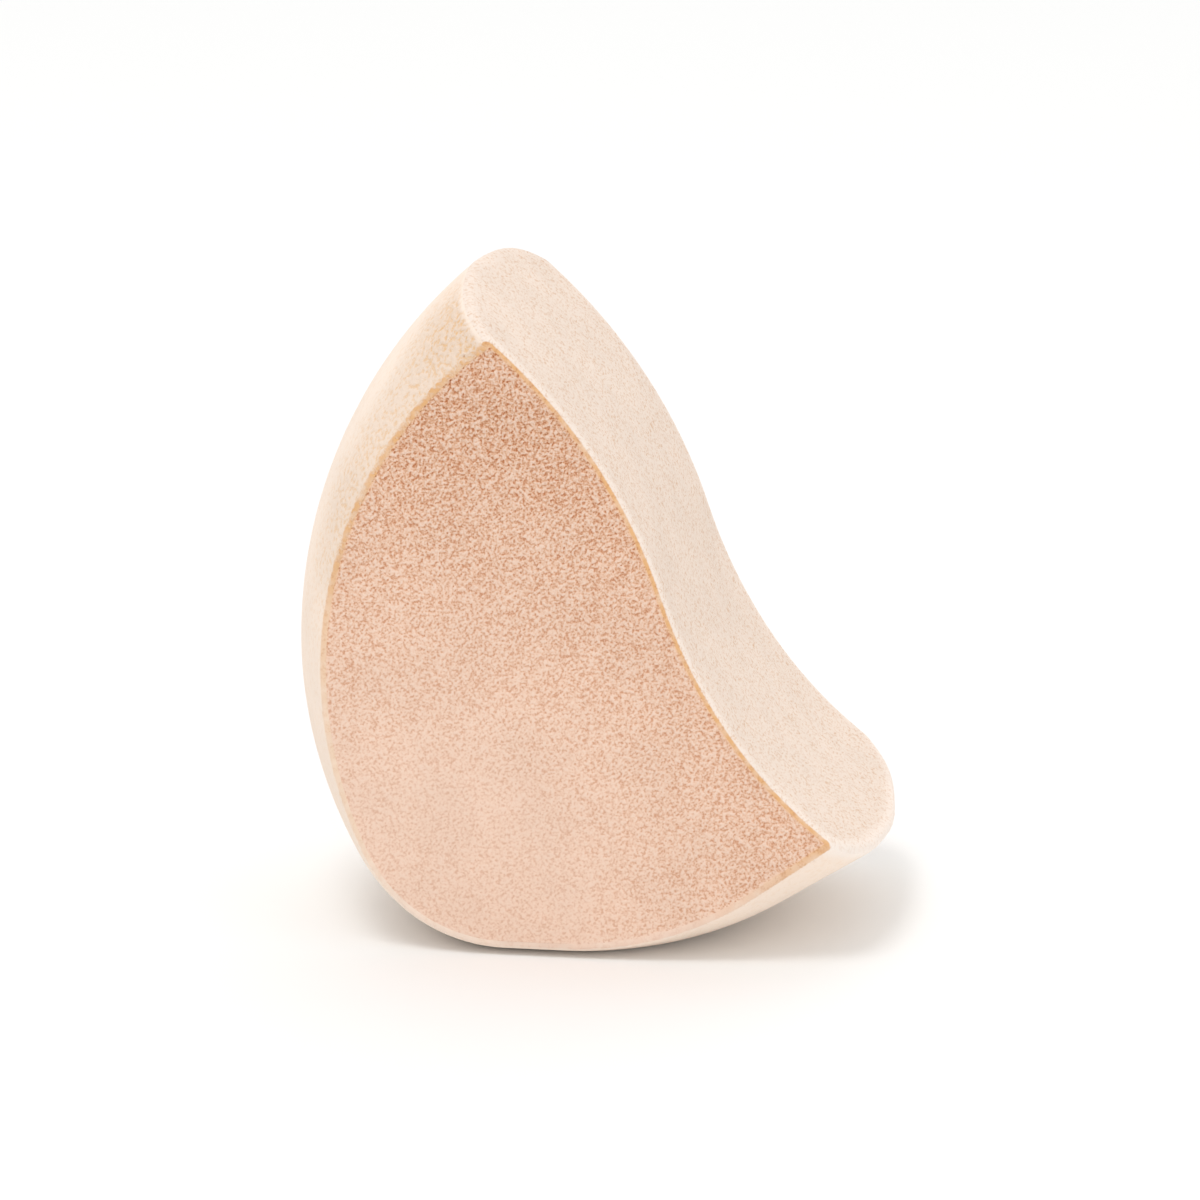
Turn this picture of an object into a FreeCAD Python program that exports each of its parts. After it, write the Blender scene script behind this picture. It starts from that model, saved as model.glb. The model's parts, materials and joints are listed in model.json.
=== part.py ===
import FreeCAD, Part
import math
import os

# A makeup sponge: one moulded block of soft foam, sliced flat at the front and at the back.
# Looking at the front face, X runs to the right and Z up, and Y runs from front to back.
# The origin is under the middle of the block, on the surface that it stands on.
# Lengths are in millimetres.

# The two flat cut faces
face_gap = 32.0             # from one cut face to the other
face_edge_radius = 0.5      # soft edge all round a cut face

# Rounded back of a cut face, from the tip down to the base
tip_setback = 7.2           # tip, left of the middle
tip_height = 56.6           # tip, above the base
belly_reach = 22.6          # widest place, left of the middle
belly_height = 25.7
heel_setback = 6.2          # where the base starts, left of the middle
base_lift = 0.8             # lower edge of a cut face, above the base

# Underside of the lip
toe_reach = 8.6             # corner of the base and the underside, before it is rounded
toe_blend = 9.6             # how far the rounding of that corner reaches each way
lip_reach = 23.5            # lip, right of the middle
lip_height = 11.8

# Contoured face, from the tip over a full crest and through a hollow to the lip
waist_reach = 8.1           # where the crest turns into the hollow
waist_height = 33.8
waist_angle_deg = 71.8      # how steeply the contour falls there
lip_angle_deg = 37.0        # how steeply it falls at the lip

# Crown: how far the rim stands out at mid thickness, beyond the outline of a cut face
tip_crown = 4.8
belly_crown = 4.05
toe_crown = 1.8
lip_crown = 4.6
base_bow = 2.1              # how far the crown would reach under the base, had it not been cut flat

# Where the outline is drawn across half the thickness, and how much of the crown it has there.
# The tip and the lip are rounder towards the cut faces than the belly is.
station_shares = (-1.0, -0.88, -0.5, 0.0, 0.5, 0.88, 1.0)
crown_shares = (0.0, 0.23, 0.75, 1.0, 0.75, 0.23, 0.0)
end_crown_shares = (0.0, 0.39, 0.83, 1.0, 0.83, 0.39, 0.0)

# The dense skin that the mould leaves round the open cells of the core
skin = 0.6
crease_radius = 0.8         # where the contoured face meets the rim, at the tip and at the lip

# The most that a rounding may take up of the wall that it is on
face_edge_share = 0.85      # soft edge of a cut face, of the skin
crease_share = 2.0          # crease at the tip and at the lip, of the skin, which turns a corner there
toe_blend_share = 0.85      # corner of the base, of the length of the base

overrun = 12.0              # every cut runs on this far past the block

UP = FreeCAD.Vector(0, 0, 1)
RIGHT = FreeCAD.Vector(1, 0, 0)
BACK = FreeCAD.Vector(0, 1, 0)


def unit(vector):
    return vector / vector.Length


def left_of(heading):
    """Direction in the XZ plane that points to the left of a heading."""
    return FreeCAD.Vector(-heading.z, 0, heading.x)


def falling(angle_deg):
    """Direction in the XZ plane that runs to the right and falls at an angle."""
    angle = math.radians(angle_deg)
    return FreeCAD.Vector(math.cos(angle), 0, -math.sin(angle))


def arc_centre(start, heading, end):
    """Centre of the circle that leaves start along heading and passes through end."""
    side = left_of(heading)
    chord = end - start
    return start + side * (chord.dot(chord) / (2 * chord.dot(side)))


def arc_edge(start, centre, end):
    middle = unit(unit(start - centre) + unit(end - centre))
    return Part.Arc(start, centre + middle * (start - centre).Length, end).toShape()


def run_on(start, centre, end, length):
    """Point that is a length further on than end, along the arc from start to end."""
    spoke = end - centre
    turn = math.degrees(length / spoke.Length)
    if (start - centre).cross(spoke).y < 0:
        turn = -turn
    return centre + FreeCAD.Rotation(BACK, turn).multVec(spoke)


def meeting_point(start, heading, end, last_heading):
    """Where an arc that leaves start along heading runs into one that reaches end along last_heading."""
    chord = end - start
    along = chord.dot(heading + last_heading)
    spread = 2 * (1 - heading.dot(last_heading))
    reach = (math.sqrt(along * along + spread * chord.dot(chord)) - along) / spread
    return (start + heading * reach + end - last_heading * reach) / 2


TIP = FreeCAD.Vector(-tip_setback, 0, tip_height)
BELLY = FreeCAD.Vector(-belly_reach, 0, belly_height)
TOE = FreeCAD.Vector(toe_reach, 0, base_lift)
LIP = FreeCAD.Vector(lip_reach, 0, lip_height)
WAIST = FreeCAD.Vector(waist_reach, 0, waist_height)


def back_edges(crown_share, end_share, heel, inset):
    """The rounded back from past the tip, over the belly, to the heel, drawn in by an inset."""
    tip_normal = unit(TIP - arc_centre(BELLY, UP, TIP))
    tip = TIP + tip_normal * (tip_crown * end_share - inset)
    belly = BELLY - RIGHT * (belly_crown * crown_share - inset)
    back_centre = arc_centre(belly, UP, tip)
    tip_end = run_on(belly, back_centre, tip, tip_crown + overrun)
    heel_joint = meeting_point(belly, -UP, heel, RIGHT)
    edges = [
        arc_edge(tip_end, back_centre, belly),
        arc_edge(belly, arc_centre(belly, -UP, heel_joint), heel_joint),
        arc_edge(heel_joint, arc_centre(heel, -RIGHT, heel_joint), heel),
    ]
    return tip_end, edges


def under_edges(crown_share, end_share, heel, inset):
    """The base from the heel, round its corner and up the underside to past the lip."""
    lip = LIP - left_of(unit(LIP - TOE)) * (lip_crown * end_share)
    toe = TOE + RIGHT * (toe_crown * crown_share) - UP * (TOE.z + inset - heel.z)
    underside = unit(lip - toe)
    lip = lip + left_of(underside) * inset
    toe = lip + underside * ((heel.z - lip.z) / underside.z)
    blend = min(toe_blend, (toe - heel).Length * toe_blend_share)
    toe_start = toe - RIGHT * blend
    toe_end = toe + underside * blend
    lip_end = lip + underside * (lip_crown + overrun)
    edges = [
        Part.makeLine(heel, toe_start),
        arc_edge(toe_start, arc_centre(toe_start, RIGHT, toe_end), toe_end),
        Part.makeLine(toe_end, lip_end),
    ]
    return edges, lip_end


def rim_wire(station_share, crown_share, end_share, inset):
    """Closed outline of the block at one place across its thickness, run on past the contoured face."""
    heel_level = base_lift - (base_lift + base_bow) * crown_share + inset
    heel = FreeCAD.Vector(-heel_setback, 0, heel_level)
    tip_end, back = back_edges(crown_share, end_share, heel, inset)
    under, lip_end = under_edges(crown_share, end_share, heel, inset)
    wire = Part.Wire(back + under + [Part.makeLine(lip_end, tip_end)])
    wire.translate(BACK * (station_share * face_gap / 2))
    return wire


def contour_edges(inset):
    """The contoured face's line from past the tip to past the lip, sunk into the block by an inset."""
    waist_heading = falling(waist_angle_deg)
    lip_heading = falling(lip_angle_deg)
    crest_centre = arc_centre(WAIST, -waist_heading, TIP)
    tip = TIP - unit(TIP - crest_centre) * inset
    waist = WAIST - left_of(waist_heading) * inset
    lip = LIP - left_of(lip_heading) * inset
    hollow_joint = meeting_point(waist, waist_heading, lip, lip_heading)
    lower_centre = arc_centre(lip, -lip_heading, hollow_joint)
    tip_end = run_on(waist, crest_centre, tip, tip_crown + overrun)
    lip_end = run_on(hollow_joint, lower_centre, lip, lip_crown + overrun)
    edges = [
        arc_edge(tip_end, crest_centre, waist),
        arc_edge(waist, arc_centre(waist, waist_heading, hollow_joint), hollow_joint),
        arc_edge(hollow_joint, lower_centre, lip_end),
    ]
    return tip_end, edges, lip_end


def beyond_contour(inset):
    """Everything outside the contoured face, sunk into the block by an inset."""
    tip_end, edges, lip_end = contour_edges(inset)
    top = tip_end.z + overrun
    far = lip_end.x + overrun
    corners = [
        lip_end,
        FreeCAD.Vector(far, 0, lip_end.z),
        FreeCAD.Vector(far, 0, top),
        FreeCAD.Vector(tip_end.x, 0, top),
        tip_end,
    ]
    wire = Part.Wire(edges + [Part.makeLine(a, b) for a, b in zip(corners, corners[1:])])
    wire.translate(-BACK * (face_gap / 2 + overrun))
    return Part.Face(wire).extrude(BACK * (face_gap + 2 * overrun))


def below_base(inset):
    """Everything under the flat base, raised by an inset."""
    length = 2 * (belly_reach + lip_reach)
    depth = face_gap + 2 * overrun
    height = base_bow + overrun
    slab = Part.makeBox(length, depth, height)
    slab.translate(FreeCAD.Vector(-length / 2, -depth / 2, inset - height))
    return slab


def crosses_block(edge):
    """True for an edge that runs from one cut face to the other."""
    depths = [vertex.Point.y for vertex in edge.Vertexes]
    return max(depths) - min(depths) > face_gap / 2


def mid_point(edge):
    return edge.valueAt((edge.FirstParameter + edge.LastParameter) / 2)


def crowned_block(inset):
    """The block with its crown, contoured face and flat base, drawn in by an inset."""
    stations = zip(station_shares, crown_shares, end_crown_shares)
    blank = Part.makeLoft([rim_wire(*station, inset) for station in stations], True)
    return blank.cut(beyond_contour(inset)).cut(below_base(inset))


def round_creases(block):
    """Round the two creases where the contoured face meets the rim, within the thickness of the skin."""
    across = [edge for edge in block.Edges if crosses_block(edge)]
    tip_crease = max(across, key=lambda edge: mid_point(edge).z)
    lip_crease = max(across, key=lambda edge: mid_point(edge).x)
    return block.makeFillet(min(crease_radius, skin * crease_share), [tip_crease, lip_crease])


def soften_cut_faces(block):
    """Round the edge all round both cut faces, within the thickness of the skin."""
    flat_faces = [face for face in block.Faces if isinstance(face.Surface, Part.Plane)]
    cut_faces = [face for face in flat_faces if abs(face.Surface.Axis.y) > abs(face.Surface.Axis.z)]
    edges = [edge for face in cut_faces for edge in face.Edges]
    return block.makeFillet(min(face_edge_radius, skin * face_edge_share), edges)


def sponge_layers():
    """The open-celled core and the two skins that wrap it, face to face."""
    block = soften_cut_faces(round_creases(crowned_block(0)))
    core = crowned_block(skin)
    wrap = block.cut(core)
    contour_zone = beyond_contour(skin)
    return {
        "foam_core": core,
        "contour_face_skin": wrap.common(contour_zone),
        "rim_skin": wrap.cut(contour_zone),
    }


os.makedirs("parts", exist_ok=True)
for name, shape in sponge_layers().items():
    (solid,) = shape.Solids
    solid.exportStep("parts/" + name + ".step")
    print(name, "volume in cubic millimetres:", round(solid.Volume, 1))
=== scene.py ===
import itertools
import json
import math

import bpy
import numpy as np
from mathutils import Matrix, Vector
from mathutils.bvhtree import BVHTree
from mathutils.kdtree import KDTree

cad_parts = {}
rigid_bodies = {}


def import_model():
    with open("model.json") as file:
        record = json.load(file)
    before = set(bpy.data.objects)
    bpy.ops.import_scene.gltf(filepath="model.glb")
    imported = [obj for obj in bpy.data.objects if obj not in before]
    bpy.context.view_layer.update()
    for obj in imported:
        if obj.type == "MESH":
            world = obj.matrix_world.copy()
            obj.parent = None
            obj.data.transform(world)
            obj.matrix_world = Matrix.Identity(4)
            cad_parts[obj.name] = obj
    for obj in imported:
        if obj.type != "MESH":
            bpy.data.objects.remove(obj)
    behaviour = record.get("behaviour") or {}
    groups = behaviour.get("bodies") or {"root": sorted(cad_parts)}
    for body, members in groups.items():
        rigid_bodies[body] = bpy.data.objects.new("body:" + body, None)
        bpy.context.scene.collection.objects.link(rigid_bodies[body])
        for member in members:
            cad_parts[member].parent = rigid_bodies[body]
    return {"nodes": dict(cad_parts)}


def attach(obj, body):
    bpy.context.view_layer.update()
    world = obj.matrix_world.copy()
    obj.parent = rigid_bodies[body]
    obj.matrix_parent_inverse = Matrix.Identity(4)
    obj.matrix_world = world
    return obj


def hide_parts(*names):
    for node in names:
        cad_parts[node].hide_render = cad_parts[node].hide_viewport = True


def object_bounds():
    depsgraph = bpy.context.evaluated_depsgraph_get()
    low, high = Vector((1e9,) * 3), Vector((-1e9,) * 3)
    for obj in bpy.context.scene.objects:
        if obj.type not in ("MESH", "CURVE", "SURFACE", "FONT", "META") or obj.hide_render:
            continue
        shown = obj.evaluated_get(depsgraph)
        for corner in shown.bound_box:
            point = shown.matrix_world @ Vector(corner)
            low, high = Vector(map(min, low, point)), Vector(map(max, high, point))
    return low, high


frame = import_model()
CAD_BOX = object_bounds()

bl_info = {
    "name": "Makeup sponge",
    "version": (1, 0, 0),
    "blender": (4, 5, 0),
    "location": "View3D > Sidebar > Sponge",
    "description": "Dresses the solids of a soft foam makeup sponge and sets up a studio round it",
    "category": "Object",
}

# Lengths are in metres; Z points up, and the two cut faces lie across Y
MM = 0.001
BODY = "root"
HALF_THICKNESS = CAD_BOX[1].y

# How near a point lies to a cut face that it is on, to the core that it touches, and to its own double
CUT_MARGIN = 0.02 * MM
CONTACT_MARGIN = 0.05 * MM
MERGE_MARGIN = 0.001 * MM

# How far the normal of a face points along Y: at least on a cut face, at most on the side of a skin
CUT_NORMAL = 0.98
SIDE_NORMAL = 0.9

# Share of its remesh grid that a piece fills, share of its hidden faces that stay, and how sharp an edge
# between two faces may be and still be shaded smooth
REMESH_SCALE = 0.95
HIDDEN_SHARE = 0.1
SMOOTH_ANGLE = math.radians(50)

# Noise: large primes scatter the cells of its grid over a table of slopes
PRIMES = np.array((73856093, 19349663, 83492791))
SLOPE_COUNT = 4096

# Cells of the foam: the seeds and the contrast of their noise, their weight beside a finer grain, where
# on the sum of both the walls turn to shade and to pits, and how strongly pits show in a cut edge
CELL_SEEDS = (1, 2)
CELL_CONTRAST = 1.2
CELL_WEIGHT = 0.7
SHADE_RANGE = (0.5, 0.9)
PIT_RANGE = (0.85, 1.3)
RING_PITS = 0.7

# Share of the rim's band of open cells, from the cut face on, where they are as open as they get
OPEN_BAND_SHARE = 1 / 6

# The painted glow at the cut edge of the skin: where along X and Z it starts to take up light and where it
# takes up most, its strength where it takes up none, and the mean, swing, spacing and seed of the noise in
# its strength
LIT_X = (-10 * MM, 2 * MM)
LIT_Z = (20 * MM, 42 * MM)
DIM_EDGE = 0.4
EDGE_STRENGTH = 0.9
EDGE_SWING = 0.8
EDGE_SPACING = 0.8 * MM
EDGE_SEED = 5

# How much painted highlight the contoured face has along a cut, and both skins along the crease at the lip
CUT_HIGHLIGHT = 0.35
LIP_HIGHLIGHT = 0.8

# Broad patches of slightly darker foam: the range of the noise that makes them, and their tone
PATCH_RANGE = (0.35, 0.65)
PATCH_TONE = 0.96

# Sockets of a Mix node that blends colours
MIX_SHARE, MIX_FROM, MIX_TO, MIX_RESULT = 0, 6, 7, 2

# Soft lights: name, place, width and power in watts
SOFTBOXES = (
    ("back_softbox", (0.0, 0.8, 1.4), 1.5, 4.0),
    ("top_softbox", (-0.15, -0.35, 0.9), 0.3, 2.4),
    ("right_softbox", (0.6, -0.25, 0.1), 0.3, 0.5),
)


def linear(hex_colour):
    """Linear RGB of an sRGB hex colour."""
    channels = [int(hex_colour[i:i + 2], 16) / 255 for i in (1, 3, 5)]
    return [c / 12.92 if c <= 0.04045 else ((c + 0.055) / 1.055) ** 2.4 for c in channels]


def length(name, description, millimetres, least=0):
    return bpy.props.FloatProperty(
        name=name, description=description, default=millimetres * MM, min=least,
        precision=5, subtype="DISTANCE", unit="LENGTH")


def angle(name, description, degrees):
    return bpy.props.FloatProperty(
        name=name, description=description, default=math.radians(degrees),
        subtype="ANGLE", unit="ROTATION")


def share(name, description, value):
    return bpy.props.FloatProperty(
        name=name, description=description, default=value, min=0, max=1, subtype="FACTOR")


def colour(name, description, hex_colour):
    return bpy.props.FloatVectorProperty(
        name=name, description=description, default=linear(hex_colour), min=0, max=1, subtype="COLOR")


class FoamSettings(bpy.types.PropertyGroup):
    """Sizes and colours of the foam."""
    cell_size: length("Cell size", "Width of an open cell of the core", 0.21)
    rim_cell_size: length("Rim cell size", "Width of an open cell of the rim", 0.38)
    grain_size: length("Grain size", "Width of the finest grain on all foam", 0.15)
    grain_depth: length("Grain depth", "How deep that grain looks", 0.12)
    patch_size: length("Patch size", "Width of the slightly darker patches", 6)
    pit_depth: length("Pit depth", "How deep the open cells are at most", 0.14)
    heel_x: length("Heel", "Where the foam is densest, right of the middle", -12, least=CAD_BOX[0].x)
    heel_height: length("Heel height", "Height of that place", 4)
    dense_reach: length("Dense reach", "How far from the heel the cells stay nearly closed", 12)
    dense_share: share("Dense share", "How open they are there", 0.25)
    open_reach: length("Open reach", "How far from the heel the cells are fully open", 46)
    seam_fade: length("Seam fade", "How far from a closed skin the cells of the core start", 0.3)
    glow_reach: length("Glow reach", "How far light leaks into the core past the skin", 0.25)
    ring_start: length("Ring start", "Height where the cut edge starts to differ from the core", 2)
    ring_full: length("Ring full", "Height where it has its own colour", 14)
    contour_ring: length("Contour ring", "Depth of the cut edge of the contoured face", 0.08)
    rim_ring: length("Rim ring", "Depth of the cut edge of the rim", 0.1)
    rim_start: length("Rim start", "Height where the cells of the rim start to open", 24)
    rim_open: length("Rim open", "Height where the cells of the rim are open", 42)
    rim_band: length("Rim band", "How far from a cut face the cells of the rim open, below the tip", 9)
    rim_share: share("Rim share", "How open the cells of the rim are below the tip", 0.55)
    tip_start: length("Tip start", "Height where the rim's band starts to widen", 50)
    tip_open: length("Tip open", "Height where it is twice as wide", 58)
    tip_share: share("Tip share", "How open the cells of the rim are at the tip", 0.85)
    crease_gap: length("Crease gap", "How far from the contoured face the rim's cells start to close", 0.8)
    # Reach of the painted highlight beside a crease or a cut
    highlight_reach: length("Crease reach", "How far from a crease or a cut the skin is thin", 1.4)
    wall: colour("Cell walls", "Cut walls of the open cells", "#EFD2BF")
    shade: colour("Shaded walls", "Walls where the cells are wide open", "#E5B899")
    # Pit colours are painted shade: a darker, warmer colour down in the open cells
    pit: colour("Pits", "Inside of the open cells", "#BC7548")
    # Glow is painted light: a warm colour in the core beside the skin, where light would leak through
    glow: colour("Glow", "Core beside the skin, where light leaks in", "#EEC4A0")
    skin: colour("Skin", "Moulded skin of the contoured face", "#EBDACC")
    speckle: colour("Speckle", "Closed cells that show through that skin", "#D0A47C")
    rim: colour("Rim", "Moulded skin of the rim", "#F6E5D6")
    rim_shade: colour("Shaded rim", "Rim where its cells are wide open", "#E2CAB5")
    # The rim's pit colour is painted shade as well
    rim_pit: colour("Rim pits", "Inside of the open cells of the rim", "#E4B884")
    # The cut edge colour is a painted glow, for light that shines through the thin skin at a cut
    cut_edge_glow: colour("Cut edge", "Cut edge of the skin", "#E2B17E")
    # The crease colour is a painted highlight on the rounded creases and along the cuts
    crease: colour("Crease", "Thin skin along the creases, which lets light through", "#F8EDE4")


class StudioSettings(bpy.types.PropertyGroup):
    """Camera, lights and floor."""
    azimuth: angle("Azimuth", "Camera, round the sponge from its front", 8.1)
    elevation: angle("Elevation", "Camera, above the horizon", 15.87)
    distance: length("Distance", "From the camera to the point that it looks at", 600)
    target_x: length("Target right", "That point, right of the middle", 0.2, least=CAD_BOX[0].x)
    target_height: length("Target height", "That point, above the floor", 28.76)
    focal_length: bpy.props.FloatProperty(
        name="Focal length", description="Of the lens, in millimetres",
        default=199.7, min=1, unit="CAMERA")
    sky: bpy.props.FloatProperty(
        name="Sky", description="Strength of the white light from all round", default=0.84, min=0)
    floor_size: length("Floor size", "Width of the floor", 6000)
    floor: colour("Floor", "Pale studio floor", "#F4F4F3")


def add_node(tree, kind, inputs=None, **settings):
    """Adds a node with its settings; each input takes a value or another node's output."""
    node = tree.nodes.new(kind)
    for name, value in settings.items():
        setattr(node, name, value)
    for socket, value in (inputs or {}).items():
        if isinstance(value, bpy.types.NodeSocket):
            tree.links.new(value, node.inputs[socket])
        else:
            node.inputs[socket].default_value = value
    return node


def new_material(name):
    """An empty material with its node tree and its output node."""
    material = bpy.data.materials.new(name)
    material.use_nodes = True
    material.node_tree.nodes.clear()
    return material, material.node_tree, add_node(material.node_tree, "ShaderNodeOutputMaterial")


def painted_glow_ring(tree, place, foam, edge, edge_width):
    """Painted glow where a cut face ends: its strength, its colour, and how strongly its pits show."""
    strength = add_node(tree, "ShaderNodeAttribute", attribute_name="edge").outputs["Fac"]
    axes = add_node(tree, "ShaderNodeSeparateXYZ", {0: place}).outputs
    depth = add_node(tree, "ShaderNodeMath", {0: axes["Y"]}, operation="ABSOLUTE").outputs[0]
    cut = add_node(tree, "ShaderNodeMapRange", {
        "Value": depth, "From Min": HALF_THICKNESS - edge_width,
        "From Max": HALF_THICKNESS - CUT_MARGIN},
        interpolation_type="SMOOTHSTEP").outputs["Result"]
    strength = add_node(tree, "ShaderNodeMath", {0: strength, 1: cut}, operation="MULTIPLY").outputs[0]
    high = add_node(tree, "ShaderNodeMapRange", {
        "Value": axes["Z"], "From Min": foam.ring_start, "From Max": foam.ring_full},
        interpolation_type="SMOOTHSTEP").outputs["Result"]
    tone = add_node(tree, "ShaderNodeMix", {
        MIX_SHARE: high, MIX_FROM: (*foam.wall, 1), MIX_TO: (*edge, 1)},
        data_type="RGBA").outputs[MIX_RESULT]
    pits = add_node(tree, "ShaderNodeMath", {0: strength, 1: high}, operation="MULTIPLY").outputs[0]
    pits = add_node(tree, "ShaderNodeMath", {0: pits, 1: RING_PITS}, operation="MULTIPLY").outputs[0]
    return strength, tone, pits


def foam_material(name, foam, wall, shade, least_shade, pit, faintest, edge, edge_width, roughness):
    """Foam with fine cells: their walls and insides, painted glow where a cut face ends, and painted
    highlight on creases.

    The walls of open cells have at least the least shade. Closed cells show by the faintest share.
    """
    material, tree, output = new_material(name)
    place = add_node(tree, "ShaderNodeTexCoord").outputs["Object"]
    pits = add_node(tree, "ShaderNodeAttribute", attribute_name="pit").outputs["Fac"]
    openness = add_node(tree, "ShaderNodeAttribute", attribute_name="open").outputs["Fac"]
    painted_highlight = add_node(tree, "ShaderNodeAttribute", attribute_name="crease").outputs["Fac"]
    ring, ring_glow_tone, ring_pits = painted_glow_ring(tree, place, foam, edge, edge_width)
    grain = add_node(tree, "ShaderNodeTexNoise", {
        "Vector": place, "Scale": 1 / foam.grain_size, "Detail": 0.5, "Roughness": 0.5}).outputs["Fac"]

    # How much of the cells shows: less where they are closed, and less under the painted highlight
    amount = add_node(tree, "ShaderNodeMapRange", {
        "Value": openness, "To Min": faintest}).outputs["Result"]
    amount = add_node(tree, "ShaderNodeMath", {0: amount, 1: ring_pits}, operation="MAXIMUM").outputs[0]
    beyond_highlight = add_node(tree, "ShaderNodeMath", {0: 1.0, 1: painted_highlight}, operation="SUBTRACT").outputs[0]
    amount = add_node(tree, "ShaderNodeMath", {0: amount, 1: beyond_highlight}, operation="MULTIPLY").outputs[0]

    # Where the walls are shaded, and where the pits are
    fleck = add_node(tree, "ShaderNodeMath", {
        0: pits, 1: CELL_WEIGHT, 2: grain}, operation="MULTIPLY_ADD").outputs[0]
    hollow = add_node(tree, "ShaderNodeMapRange", {
        "Value": fleck, "From Min": SHADE_RANGE[0], "From Max": SHADE_RANGE[1],
        "To Min": least_shade}).outputs["Result"]
    hollow = add_node(tree, "ShaderNodeMath", {0: hollow, 1: openness}, operation="MULTIPLY").outputs[0]
    fleck = add_node(tree, "ShaderNodeMapRange", {
        "Value": fleck, "From Min": PIT_RANGE[0], "From Max": PIT_RANGE[1]}).outputs["Result"]
    fleck = add_node(tree, "ShaderNodeMath", {0: fleck, 1: amount}, operation="MULTIPLY").outputs[0]

    # Colours, from the walls over the painted highlight and the ring's painted glow to the pits, with
    # patches on all
    tone = add_node(tree, "ShaderNodeMix", {
        MIX_SHARE: hollow, MIX_FROM: (*wall, 1), MIX_TO: (*shade, 1)},
        data_type="RGBA").outputs[MIX_RESULT]
    tone = add_node(tree, "ShaderNodeMix", {
        MIX_SHARE: painted_highlight, MIX_FROM: tone, MIX_TO: (*foam.crease, 1)},
        data_type="RGBA").outputs[MIX_RESULT]
    tone = add_node(tree, "ShaderNodeMix", {
        MIX_SHARE: ring, MIX_FROM: tone, MIX_TO: ring_glow_tone}, data_type="RGBA").outputs[MIX_RESULT]
    inside = add_node(tree, "ShaderNodeMix", {
        MIX_SHARE: ring, MIX_FROM: (*pit, 1), MIX_TO: (*foam.pit, 1)},
        data_type="RGBA").outputs[MIX_RESULT]
    tone = add_node(tree, "ShaderNodeMix", {
        MIX_SHARE: fleck, MIX_FROM: tone, MIX_TO: inside}, data_type="RGBA").outputs[MIX_RESULT]
    mottle = add_node(tree, "ShaderNodeTexNoise", {
        "Vector": place, "Scale": 1 / foam.patch_size, "Detail": 3.0}).outputs["Fac"]
    patch = add_node(tree, "ShaderNodeMapRange", {
        "Value": mottle, "From Min": PATCH_RANGE[0], "From Max": PATCH_RANGE[1],
        "To Min": PATCH_TONE}).outputs["Result"]
    tone = add_node(tree, "ShaderNodeMix", {
        MIX_SHARE: 1.0, MIX_FROM: tone, MIX_TO: patch},
        data_type="RGBA", blend_type="MULTIPLY").outputs[MIX_RESULT]

    # The grain catches light as well, most of all where the cells are open
    relief = add_node(tree, "ShaderNodeMath", {0: amount, 1: 2.0}, operation="POWER").outputs[0]
    relief = add_node(tree, "ShaderNodeMath", {0: grain, 1: relief}, operation="MULTIPLY").outputs[0]
    bump = add_node(tree, "ShaderNodeBump", {
        "Height": relief, "Strength": 1.0, "Distance": foam.grain_depth}, invert=True).outputs["Normal"]
    shader = add_node(tree, "ShaderNodeBsdfPrincipled", {
        "Base Color": tone, "Roughness": roughness, "IOR": 1.45, "Specular IOR Level": 0.2,
        "Normal": bump})
    tree.links.new(shader.outputs["BSDF"], output.inputs["Surface"])
    return material


def make_active(piece):
    """Makes a piece the active and only selected one."""
    bpy.ops.object.select_all(action="DESELECT")
    piece.select_set(True)
    bpy.context.view_layer.objects.active = piece


def soft_copy(node, name, octree_depth):
    """An evenly meshed copy of a foam solid, with its sharp edges kept."""
    piece = bpy.data.objects.new(name, frame["nodes"][node].data.copy())
    bpy.context.collection.objects.link(piece)
    piece.data.materials.clear()
    make_active(piece)
    bpy.ops.object.mode_set(mode="EDIT")
    bpy.ops.mesh.select_all(action="SELECT")
    bpy.ops.mesh.remove_doubles(threshold=MERGE_MARGIN)
    bpy.ops.object.mode_set(mode="OBJECT")
    remesh = piece.modifiers.new("Even mesh", "REMESH")
    remesh.mode = "SHARP"
    remesh.octree_depth = octree_depth
    remesh.scale = REMESH_SCALE
    remesh.use_remove_disconnected = False
    bpy.ops.object.modifier_apply(modifier=remesh.name)
    return piece


def select_faces(piece, chosen):
    """Selects the faces that an array of truth values names, and nothing else."""
    make_active(piece)
    bpy.ops.object.mode_set(mode="EDIT")
    bpy.ops.mesh.select_mode(type="FACE")
    bpy.ops.mesh.select_all(action="DESELECT")
    bpy.ops.object.mode_set(mode="OBJECT")
    piece.data.polygons.foreach_set("select", chosen)


def subdivide_faces(piece, chosen, cuts):
    """Divides the faces that an array of truth values names, so that they can carry cells."""
    select_faces(piece, chosen)
    bpy.ops.object.mode_set(mode="EDIT")
    bpy.ops.mesh.subdivide(number_cuts=cuts)
    bpy.ops.object.mode_set(mode="OBJECT")


def points_of(piece, what="vertices", field="co"):
    """An array of a mesh's vertex places, or of another vector of its vertices or faces."""
    items = getattr(piece.data, what)
    values = np.empty(len(items) * 3)
    items.foreach_get(field, values)
    return values.reshape(-1, 3)


def move_points(piece, points):
    piece.data.vertices.foreach_set("co", points.ravel())
    piece.data.update()


def store(piece, name, values):
    """Keeps one number per vertex where a material can read it."""
    attribute = piece.data.attributes.new(name, "FLOAT", "POINT")
    attribute.data.foreach_set("value", values.astype(np.float32))


def smooth_step(values, low, high):
    t = np.clip((values - low) / (high - low), 0, 1)
    return t * t * (3 - 2 * t)


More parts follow.
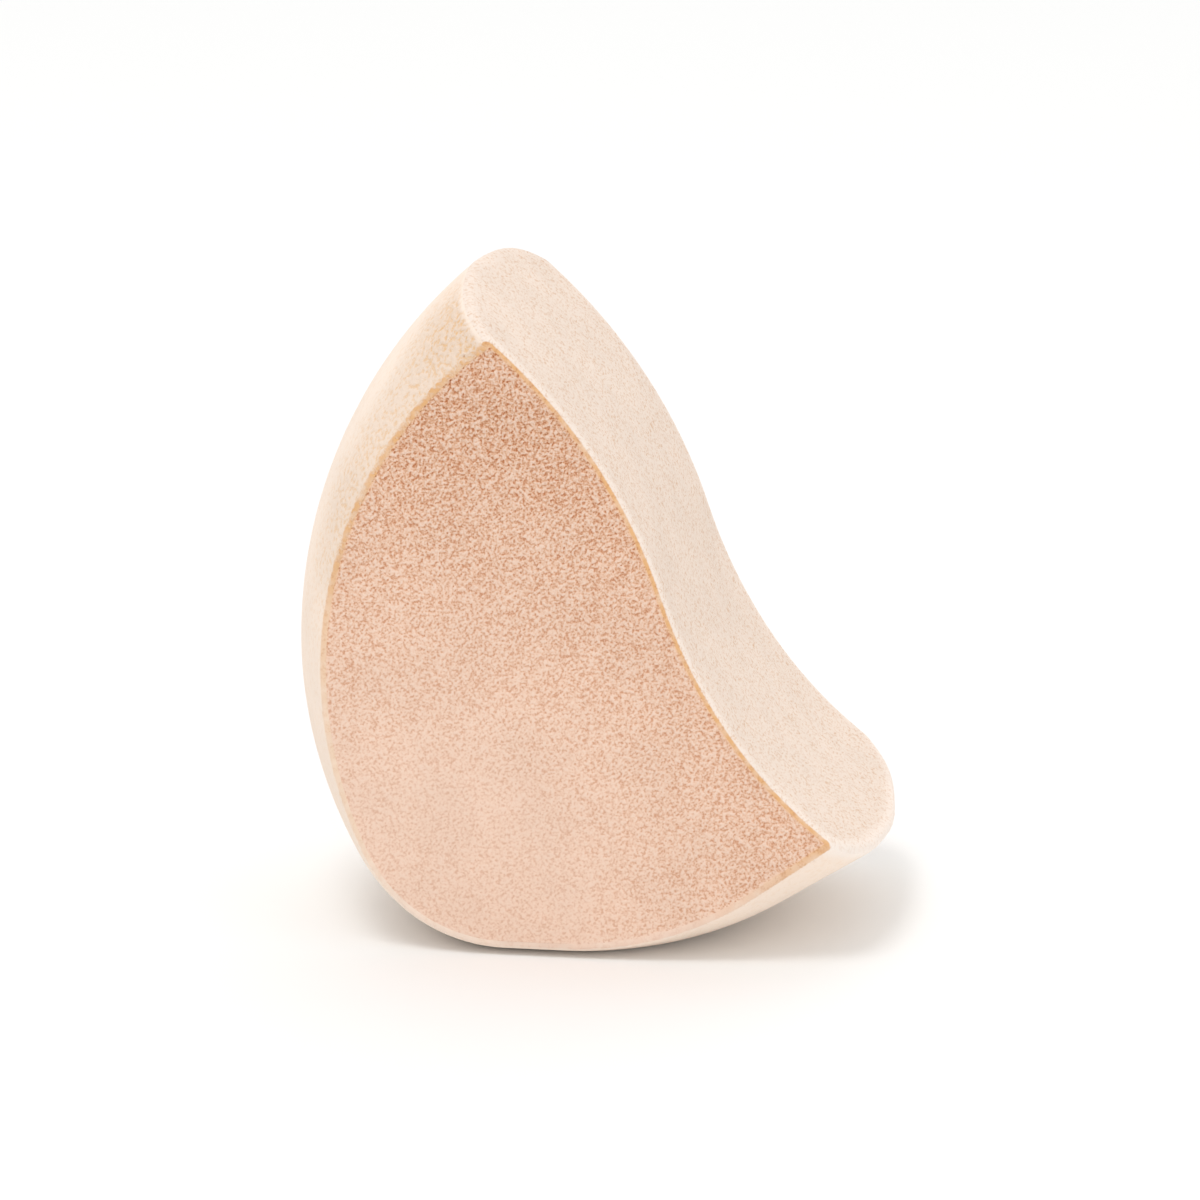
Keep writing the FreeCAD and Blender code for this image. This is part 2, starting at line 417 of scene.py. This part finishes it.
def soft_noise(points, spacing, seed):
    """Random values about zero that swing over a spacing: slopes on a grid turned at random, blended."""
    dice = np.random.default_rng(seed)
    turned = points @ np.linalg.qr(dice.normal(size=(3, 3)))[0] / spacing
    slopes = dice.normal(size=(SLOPE_COUNT, 3))
    slopes /= np.linalg.norm(slopes, axis=1)[:, None]
    cell = np.floor(turned).astype(np.int64)
    place = turned - cell
    blend = smooth_step(place, 0, 1)
    total = np.zeros(len(points))
    for corner in itertools.product((0, 1), repeat=3):
        weight = np.where(corner, blend, 1 - blend).prod(axis=1)
        slope = slopes[np.bitwise_xor.reduce((cell + corner) * PRIMES, axis=1) % SLOPE_COUNT]
        total += weight * ((place - corner) * slope).sum(axis=1)
    return total


def cell_pits(points, spacing):
    """How far inside an open cell each point is, from 0 on a wall to 1 in the middle of a pit."""
    noise = sum(soft_noise(points, spacing, seed) for seed in CELL_SEEDS)
    return np.clip(0.5 + CELL_CONTRAST * noise, 0, 1)


def surface_of(node):
    """The surface of a solid, to look up the distance to it."""
    solid = frame["nodes"][node].data
    return BVHTree.FromPolygons([v.co for v in solid.vertices], [f.vertices for f in solid.polygons])


def near_node(points, node, reach):
    """How near each point is to a solid, from 0 at a reach away to 1 against it."""
    surface = surface_of(node)
    gaps = [surface.find_nearest(point, reach)[3] for point in points]
    return 1 - smooth_step(np.array([reach if gap is None else gap for gap in gaps]), 0, reach)


def edge_light(points):
    """Painted glow for the light a cut edge takes up, from 0 low on the back to 1 towards the tip and the
    lip.
    """
    return np.maximum(smooth_step(points[:, 0], *LIT_X), smooth_step(points[:, 2], *LIT_Z))


def cut_edge_glow_strength(points):
    """How strongly the painted glow along the cut through a skin shows, from 0 to 1, uneven from place to
    place.
    """
    uneven = np.clip(EDGE_STRENGTH + EDGE_SWING * soft_noise(points, EDGE_SPACING, EDGE_SEED), 0, 1)
    return uneven * (DIM_EDGE + (1 - DIM_EDGE) * edge_light(points))


def crease_highlight(points, other, foam, at_tip):
    """Painted highlight where a skin meets the other one at a crease, from 0 to 1, and less at the tip."""
    most = np.where(points[:, 0] > 0, LIP_HIGHLIGHT, at_tip)
    return near_node(points, other, foam.highlight_reach) * most


def core_openness(points, foam):
    """How open the cells of a cut face are, from almost closed at the heel to 1 away from it."""
    away = np.hypot(points[:, 0] - foam.heel_x, points[:, 2] - foam.heel_height)
    return np.interp(away, (foam.dense_reach, foam.open_reach), (foam.dense_share, 1))


def rim_openness(points, foam):
    """How open the cells of the rim are: they open high up beside a cut face, and wider at the tip."""
    high = smooth_step(points[:, 2], foam.rim_start, foam.rim_open)
    tip = smooth_step(points[:, 2], foam.tip_start, foam.tip_open)
    band = foam.rim_band * (1 + tip)
    beside = smooth_step(
        np.abs(points[:, 1]), HALF_THICKNESS - band, HALF_THICKNESS - band * OPEN_BAND_SHARE)
    most = foam.rim_share + (foam.tip_share - foam.rim_share) * tip
    openness = most * beside * high
    chosen = np.flatnonzero(openness)
    openness[chosen] *= 1 - near_node(points[chosen], "contour_face_skin", foam.crease_gap)
    return openness


def outward_of(piece, points):
    """Directions out of a piece, straight out on its cut faces, and which points are on those faces."""
    outward = points_of(piece, "vertices", "normal")
    cut = np.abs(points[:, 1]) > HALF_THICKNESS - CUT_MARGIN
    outward[cut] = np.c_[np.zeros(cut.sum()), np.sign(points[cut, 1]), np.zeros(cut.sum())]
    return outward, cut


def thin_hidden_side(piece):
    """Leaves few faces on the side of a skin that touches the core, and tells which points touch it."""
    core = surface_of("foam_core")
    normals = points_of(piece, "polygons", "normal")
    centres = points_of(piece, "polygons", "center")
    touching = np.array([core.find_nearest(centre, CONTACT_MARGIN)[0] is not None for centre in centres])
    select_faces(piece, touching & (np.abs(normals[:, 1]) < SIDE_NORMAL))
    bpy.ops.object.mode_set(mode="EDIT")
    bpy.ops.mesh.select_less()
    bpy.ops.mesh.decimate(ratio=HIDDEN_SHARE)
    bpy.ops.object.mode_set(mode="OBJECT")
    points = points_of(piece)
    return np.array([core.find_nearest(point, CONTACT_MARGIN)[0] is not None for point in points])


def dress(piece, node, material):
    """Gives a finished piece its material and lets it stand for its solid."""
    piece.data.materials.append(material)
    make_active(piece)
    bpy.ops.object.shade_smooth_by_angle(angle=SMOOTH_ANGLE)
    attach(piece, BODY)
    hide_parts(node)


class FoamCore(bpy.types.Operator):
    """Models the core, with its open cells on both cut faces"""
    bl_idname = "sponge.foam_core"
    bl_label = "Foam core"

    def execute(self, context):
        foam = context.scene.sponge_foam
        core = soft_copy("foam_core", "sponge_core", octree_depth=7)
        subdivide_faces(core, self.flat_faces(core), cuts=4)
        points = points_of(core)
        outward, cut = outward_of(core, points)
        seam = self.seam_distances(core, points, cut)
        inner = smooth_step(seam, 0, foam.seam_fade)
        openness = np.zeros(len(points))
        openness[cut] = core_openness(points[cut], foam)
        # Beside the skin, the pits are only as deep as the skin's own
        relief = openness * inner
        edge = cut & (inner < 1)
        relief[edge] += (1 - inner[edge]) * rim_openness(points[edge], foam)
        pit = np.zeros(len(points))
        pit[cut] = cell_pits(points[cut], foam.cell_size)
        move_points(core, points - outward * (pit * relief * foam.pit_depth)[:, None])
        store(core, "pit", pit)
        store(core, "open", openness)
        # Painted glow in the core beside the skin, where light would leak in
        store(core, "edge", cut * edge_light(points) * (1 - smooth_step(seam, 0, foam.glow_reach)))
        # Sliced polyurethane foam: peach walls round pits of warm brown painted shade, with no gloss
        material = foam_material(
            "open_cell_polyurethane_foam", foam, wall=foam.wall, shade=foam.shade, least_shade=0,
            pit=foam.pit, faintest=0.1, edge=foam.glow, edge_width=HALF_THICKNESS, roughness=0.95)
        dress(core, "foam_core", material)
        return {"FINISHED"}

    def flat_faces(self, core):
        return np.abs(points_of(core, "polygons", "normal")[:, 1]) > CUT_NORMAL

    def seam_distances(self, core, points, cut):
        """How far each point of the cut faces is from the skin."""
        on_side = np.zeros(len(points), bool)
        for face, flat in zip(core.data.polygons, self.flat_faces(core)):
            if not flat:
                on_side[list(face.vertices)] = True
        outline = np.flatnonzero(on_side & cut)
        tree = KDTree(len(outline))
        for index in outline:
            tree.insert(points[index], int(index))
        tree.balance()
        seam = np.zeros(len(points))
        for index in np.flatnonzero(cut):
            seam[index] = tree.find(points[index])[2]
        return seam


class ContourFace(bpy.types.Operator):
    """Models the smooth skin of the contoured face"""
    bl_idname = "sponge.contour_face"
    bl_label = "Contoured face"

    def execute(self, context):
        foam = context.scene.sponge_foam
        skin = soft_copy("contour_face_skin", "sponge_contour_face", octree_depth=8)
        thin_hidden_side(skin)
        points = points_of(skin)
        beside = smooth_step(np.abs(points[:, 1]), HALF_THICKNESS - foam.highlight_reach, HALF_THICKNESS)
        crease = crease_highlight(points, "rim_skin", foam, at_tip=0.25)
        store(skin, "pit", cell_pits(points, foam.cell_size))
        store(skin, "open", np.zeros(len(points)))
        # Painted glow along the cut edge, and painted highlight along the cuts and the crease at the lip
        store(skin, "edge", cut_edge_glow_strength(points))
        store(skin, "crease", np.maximum(CUT_HIGHLIGHT * beside, crease))
        # Polyurethane foam with closed cells: a smooth cream skin with a fine, faint speckle
        material = foam_material(
            "fine_polyurethane_skin", foam, wall=foam.skin, shade=foam.skin, least_shade=0,
            pit=foam.speckle, faintest=0.75, edge=foam.cut_edge_glow, edge_width=foam.contour_ring,
            roughness=0.85)
        dress(skin, "contour_face_skin", material)
        return {"FINISHED"}


class Rim(bpy.types.Operator):
    """Models the skin of the rounded rim, with cells that open beside the cut faces near the tip"""
    bl_idname = "sponge.rim"
    bl_label = "Rim"

    def execute(self, context):
        foam = context.scene.sponge_foam
        skin = soft_copy("rim_skin", "sponge_rim", octree_depth=8)
        subdivide_faces(skin, rim_openness(points_of(skin, "polygons", "center"), foam) > 0, cuts=1)
        hidden = thin_hidden_side(skin)
        points = points_of(skin)
        outward, cut = outward_of(skin, points)
        openness = rim_openness(points, foam)
        openness[hidden & ~cut] = 0
        pit = cell_pits(points, foam.rim_cell_size)
        move_points(skin, points - outward * (pit * openness * foam.pit_depth)[:, None])
        store(skin, "pit", pit)
        store(skin, "open", openness)
        # Painted glow along the cut edge, and painted highlight along the crease, most at the lip
        store(skin, "edge", cut_edge_glow_strength(points))
        store(skin, "crease", crease_highlight(points, "contour_face_skin", foam, at_tip=0.1))
        # The same foam, duller and paler: nearly plain low down; near the tip coarse cells, pits in golden
        # painted shade
        material = foam_material(
            "moulded_polyurethane_skin", foam, wall=foam.rim, shade=foam.rim_shade, least_shade=0.9,
            pit=foam.rim_pit, faintest=0.15, edge=foam.cut_edge_glow, edge_width=foam.rim_ring, roughness=0.9)
        dress(skin, "rim_skin", material)
        return {"FINISHED"}


def add_softbox(name, place, size, power, target):
    """A square soft light that faces a point."""
    light = bpy.data.lights.new(name, "AREA")
    light.size = size
    light.energy = power
    lamp = bpy.data.objects.new(name, light)
    lamp.location = place
    lamp.rotation_euler = (target - Vector(place)).to_track_quat("-Z", "Y").to_euler()
    bpy.context.collection.objects.link(lamp)


class Studio(bpy.types.Operator):
    """Sets up the floor, the soft light and the camera"""
    bl_idname = "sponge.studio"
    bl_label = "Studio"

    def execute(self, context):
        studio = context.scene.sponge_studio
        target = Vector((studio.target_x, 0, studio.target_height))
        self.add_floor(studio)
        self.add_light(context.scene, studio, target)
        self.add_camera(context.scene, studio, target)
        return {"FINISHED"}

    def add_floor(self, studio):
        bpy.ops.object.select_all(action="DESELECT")
        bpy.ops.mesh.primitive_plane_add(size=studio.floor_size)
        floor = bpy.context.object
        floor.name = "studio_floor"
        # Matte white paper: a clean floor with only a soft shadow under the sponge
        material, tree, output = new_material("matte_paper_floor")
        shader = add_node(tree, "ShaderNodeBsdfPrincipled", {
            "Base Color": (*studio.floor, 1), "Roughness": 0.9, "Specular IOR Level": 0.1})
        tree.links.new(shader.outputs["BSDF"], output.inputs["Surface"])
        floor.data.materials.append(material)

    def add_light(self, scene, studio, target):
        scene.world = bpy.data.worlds.new("white_studio")
        scene.world.use_nodes = True
        tree = scene.world.node_tree
        tree.nodes.clear()
        sky = add_node(tree, "ShaderNodeBackground", {"Color": (1, 1, 1, 1), "Strength": studio.sky})
        add_node(tree, "ShaderNodeOutputWorld", {"Surface": sky.outputs["Background"]})
        for name, place, size, power in SOFTBOXES:
            add_softbox(name, place, size, power, target)
        # Without a film curve, colours stay as clear as they are set
        scene.view_settings.view_transform = "Standard"

    def add_camera(self, scene, studio, target):
        back = Vector((math.sin(studio.azimuth) * math.cos(studio.elevation),
                       -math.cos(studio.azimuth) * math.cos(studio.elevation),
                       math.sin(studio.elevation)))
        lens = bpy.data.cameras.new("camera")
        lens.lens = studio.focal_length
        camera = bpy.data.objects.new("camera", lens)
        camera.location = target + back * studio.distance
        camera.rotation_euler = (-back).to_track_quat("-Z", "Y").to_euler()
        bpy.context.collection.objects.link(camera)
        scene.camera = camera


class SpongePanel(bpy.types.Panel):
    """Lists the pieces of the sponge, its studio and their settings"""
    bl_idname = "VIEW3D_PT_sponge"
    bl_label = "Makeup sponge"
    bl_space_type = "VIEW_3D"
    bl_region_type = "UI"
    bl_category = "Sponge"

    def draw(self, context):
        for operator in OPERATORS:
            self.layout.operator(operator.bl_idname)
        for settings in (context.scene.sponge_foam, context.scene.sponge_studio):
            for name in settings.__annotations__:
                self.layout.prop(settings, name)


OPERATORS = (FoamCore, ContourFace, Rim, Studio)
CLASSES = (FoamSettings, StudioSettings, *OPERATORS, SpongePanel)


def register():
    for cls in CLASSES:
        bpy.utils.register_class(cls)
    bpy.types.Scene.sponge_foam = bpy.props.PointerProperty(type=FoamSettings)
    bpy.types.Scene.sponge_studio = bpy.props.PointerProperty(type=StudioSettings)


def unregister():
    del bpy.types.Scene.sponge_studio
    del bpy.types.Scene.sponge_foam
    for cls in reversed(CLASSES):
        bpy.utils.unregister_class(cls)


def main():
    register()
    bpy.ops.sponge.foam_core()
    bpy.ops.sponge.contour_face()
    bpy.ops.sponge.rim()
    bpy.ops.sponge.studio()


if __name__ == "__main__":
    main()
